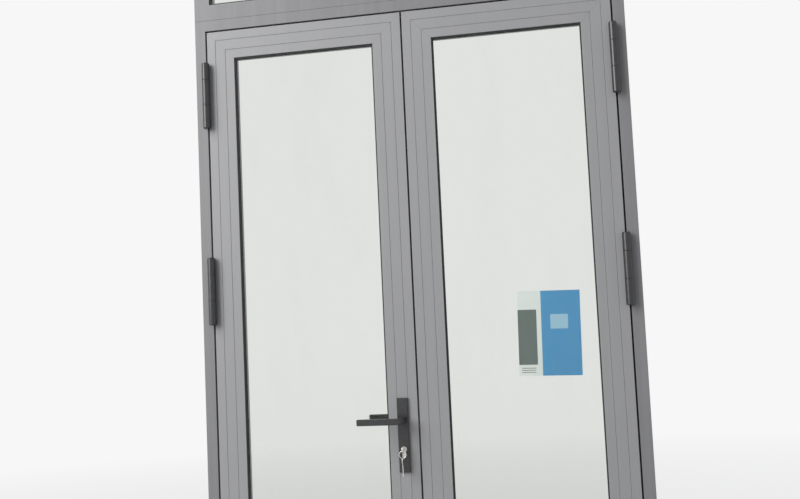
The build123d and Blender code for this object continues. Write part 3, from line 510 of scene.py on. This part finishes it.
def screw_tree():
    """Sets one turned head on each point, upright on the surface that the point's direction names."""
    tree = bpy.data.node_groups.new("screw_heads", "GeometryNodeTree")
    tree.interface.new_socket("Places", in_out="INPUT", socket_type="NodeSocketGeometry")
    for name, kind in (("Head", "Object"), ("Height", "Float"), ("Seed", "Int"), ("Finish", "Material")):
        tree.interface.new_socket(name, in_out="INPUT", socket_type="NodeSocket" + kind)
    tree.interface.new_socket("Screws", in_out="OUTPUT", socket_type="NodeSocketGeometry")

    def node(kind, inputs=None, **settings):
        return new_node(tree, kind, inputs, **settings)

    def of_point(name, kind):
        return node("GeometryNodeInputNamedAttribute", {"Name": name}, data_type=kind).outputs[0]

    given = node("NodeGroupInput").outputs
    outward = of_point("outward", "FLOAT_VECTOR")
    upright = node("FunctionNodeAlignRotationToVector", {"Vector": outward}, axis="Z")
    radius = of_point("radius", "FLOAT")
    size = node("ShaderNodeCombineXYZ", {0: radius, 1: radius, 2: given["Height"]})
    head = node("GeometryNodeObjectInfo", {"Object": given["Head"]})
    placed = node("GeometryNodeInstanceOnPoints", {
        "Points": given["Places"],
        "Instance": head.outputs["Geometry"],
        "Rotation": upright.outputs[0],
        "Scale": size.outputs[0],
    })
    turn = node("FunctionNodeRandomValue", {"Seed": given["Seed"], 3: math.pi / 2}, data_type="FLOAT")
    spin = node("ShaderNodeCombineXYZ", {2: turn.outputs[1]})
    turned = node("GeometryNodeRotateInstances", {
        "Instances": placed.outputs[0],
        "Rotation": spin.outputs[0],
    })
    solid = node("GeometryNodeRealizeInstances", {"Geometry": turned.outputs[0]})
    coated = node("GeometryNodeSetMaterial", {"Geometry": solid.outputs[0], "Material": given["Finish"]})
    node("NodeGroupOutput", {"Screws": coated.outputs[0]})
    return tree


def hinge_screws(side, on_leaf):
    """Four screws in each wing of one side's hinges, as place, direction and radius."""
    if on_leaf:
        rows, x, direction = LEAF_WING_ROWS, HINGE_X - WING_FACE, side
    else:
        rows, x, direction = FRAME_WING_ROWS, HINGE_X + WING_FACE, -side
    return [
        ((side * x, y, middle + centre + sign * reach), (direction, 0, 0), HINGE_HEAD)
        for middle in HINGE_MIDDLES for centre, reach in rows for sign in (-1, 1) for y in WING_COLUMNS_Y
    ]


def edge_screws(x, direction, heights):
    """Screws up the edge of a leaf."""
    return [((x, LEAF_MIDDLE_Y, z), (direction, 0, 0), EDGE_HEAD) for z in heights]


def keeper_screws():
    """Two screws in each shoot bolt's keeper."""
    return [
        ((SHOOT_X + reach, LEAF_MIDDLE_Y, z), (0, 0, up), EDGE_HEAD)
        for z, up in KEEPER_FACES for reach in (-KEEPER_REACH, KEEPER_REACH)
    ]


def set_screws(name, body, places, tree, pattern, finish):
    """Makes one piece of all the screw heads that ride on a body."""
    carrier_mesh = bpy.data.meshes.new(name + "_places")
    carrier_mesh.from_pydata([place for place, _, _ in places], [], [])
    carrier_mesh.attributes.new("outward", "FLOAT_VECTOR", "POINT")
    carrier_mesh.attributes.new("radius", "FLOAT", "POINT")
    for i, (_, direction, size) in enumerate(places):
        carrier_mesh.attributes["outward"].data[i].vector = direction
        carrier_mesh.attributes["radius"].data[i].value = size
    carrier = bpy.data.objects.new(name + "_places", carrier_mesh)
    bpy.context.scene.collection.objects.link(carrier)
    maker = carrier.modifiers.new("screws", "NODES")
    maker.node_group = tree
    given = {"Head": pattern, "Height": HEAD_RISE, "Seed": HEAD_SEED, "Finish": finish}
    for item in tree.interface.items_tree:
        if item.in_out == "INPUT" and item.name in given:
            maker[item.identifier] = given[item.name]
    evaluated = carrier.evaluated_get(bpy.context.evaluated_depsgraph_get())
    mesh = bpy.data.meshes.new_from_object(evaluated)
    bpy.data.objects.remove(carrier)
    bpy.data.meshes.remove(carrier_mesh)
    mesh.name = name
    screws = bpy.data.objects.new(name, mesh)
    bpy.context.scene.collection.objects.link(screws)
    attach(screws, body)


heads = screw_tree()
pattern = screw_head_pattern()
screw_finish = plated_metal("zinc_screw", SCREW_STEEL, roughness=0.36)
forend_heights = (LOCK_MIDDLE - FOREND_REACH, LOCK_MIDDLE + FOREND_REACH)
strike_heights = (LOCK_MIDDLE - STRIKE_REACH, LOCK_MIDDLE + STRIKE_REACH)
frame_places = hinge_screws(-1, False) + hinge_screws(1, False) + keeper_screws()
left_places = hinge_screws(-1, True) + edge_screws(-LEAF_EDGE_X, 1, forend_heights)
right_places = hinge_screws(1, True) + edge_screws(LEAF_EDGE_X, -1, strike_heights + BOLT_CASE_HEIGHTS)
set_screws("frame_screw_heads", "frame", frame_places, heads, pattern, screw_finish)
set_screws("left_leaf_screw_heads", "left_leaf", left_places, heads, pattern, screw_finish)
set_screws("right_leaf_screw_heads", "right_leaf", right_places, heads, pattern, screw_finish)
bpy.data.objects.remove(pattern)


# Stage

def seen_rays(tree):
    """1 for what the camera sees, also in gloss and through the glass, 0 for what only lights the object."""
    rays = add(tree, "LightPath").outputs
    indirect = calculate(tree, "MAXIMUM", rays["Is Glossy Ray"], rays["Is Transmission Ray"])
    return calculate(tree, "MAXIMUM", rays["Is Camera Ray"], indirect)


def floor_finish():
    """Plain pale floor, which keeps the object's shadow and passes into the backdrop away from it."""
    finish, tree = new_finish("pale_floor")
    place = object_place(tree)
    mottle = spread(tree, grain(tree, place, scale=1.5, detail=3.0), low=0.3, high=0.7, new_high=0.05)
    colour = blend_colours(tree, mottle, FLOOR_COLOUR, FLOOR_MOTTLE)
    lit = add(tree, "BsdfPrincipled", {"Base Color": colour, "Roughness": 0.7})
    pale = add(tree, "Emission", {"Color": opaque(BACKDROP_COLOUR), "Strength": 1.0})
    away = add(tree, "VectorMath", {0: place}, operation="LENGTH").outputs["Value"]
    paleness = spread(tree, away, *FLOOR_FADE, new_low=FLOOR_PALENESS, new_high=1.0)
    share = calculate(tree, "MULTIPLY", seen_rays(tree), paleness)
    add(tree, "OutputMaterial", {"Surface": mix_shaders(tree, share, lit, pale)})
    return finish


def make_floor():
    reach = FLOOR_REACH
    mesh = bpy.data.meshes.new("floor")
    corners = [(-reach, -reach, 0), (reach, -reach, 0), (reach, reach, 0), (-reach, reach, 0)]
    mesh.from_pydata(corners, [], [(0, 1, 2, 3)])
    floor = bpy.data.objects.new("floor", mesh)
    floor.location.z = -FLOOR_DROP
    bpy.context.scene.collection.objects.link(floor)
    mesh.materials.append(floor_finish())


def make_world():
    """Soft even light, and one plain pale backdrop for the camera, in gloss and through the glass."""
    world = bpy.data.worlds.new("studio")
    world.use_nodes = True
    tree = world.node_tree
    tree.nodes.clear()
    ambient = add(tree, "Background", {"Color": opaque(SKY_COLOUR), "Strength": SKY_STRENGTH})
    backdrop = add(tree, "Background", {"Color": opaque(BACKDROP_COLOUR), "Strength": 1.0})
    add(tree, "OutputWorld", {"Surface": mix_shaders(tree, seen_rays(tree), ambient, backdrop)})
    bpy.context.scene.world = world


def make_softbox(name, place, size, power, mirrored):
    """A soft lamp that no view shows, and that gloss mirrors only where mirrored is true."""
    lamp = bpy.data.lights.new(name, "AREA")
    lamp.shape = "RECTANGLE"
    lamp.size, lamp.size_y = size
    lamp.energy = power
    softbox = bpy.data.objects.new(name, lamp)
    softbox.location = place
    softbox.rotation_euler = (Vector(LIGHT_AIM) - softbox.location).to_track_quat("-Z", "Y").to_euler()
    softbox.visible_camera = False
    softbox.visible_transmission = False
    softbox.visible_glossy = mirrored
    bpy.context.scene.collection.objects.link(softbox)


def make_camera():
    lens = bpy.data.cameras.new("camera")
    lens.lens = CAMERA_LENS
    lens.sensor_width = SENSOR_WIDTH
    lens.sensor_fit = "HORIZONTAL"
    camera = bpy.data.objects.new("camera", lens)
    camera.location = CAMERA_PLACE
    camera.rotation_euler = [math.radians(turn) for turn in CAMERA_TURN]
    bpy.context.scene.collection.objects.link(camera)
    bpy.context.scene.camera = camera


make_floor()
make_world()
make_softbox("key", KEY_PLACE, KEY_SIZE, KEY_POWER, mirrored=True)
make_softbox("fill", FILL_PLACE, FILL_SIZE, FILL_POWER, mirrored=False)
make_camera()
bpy.context.scene.view_settings.view_transform = "Standard"
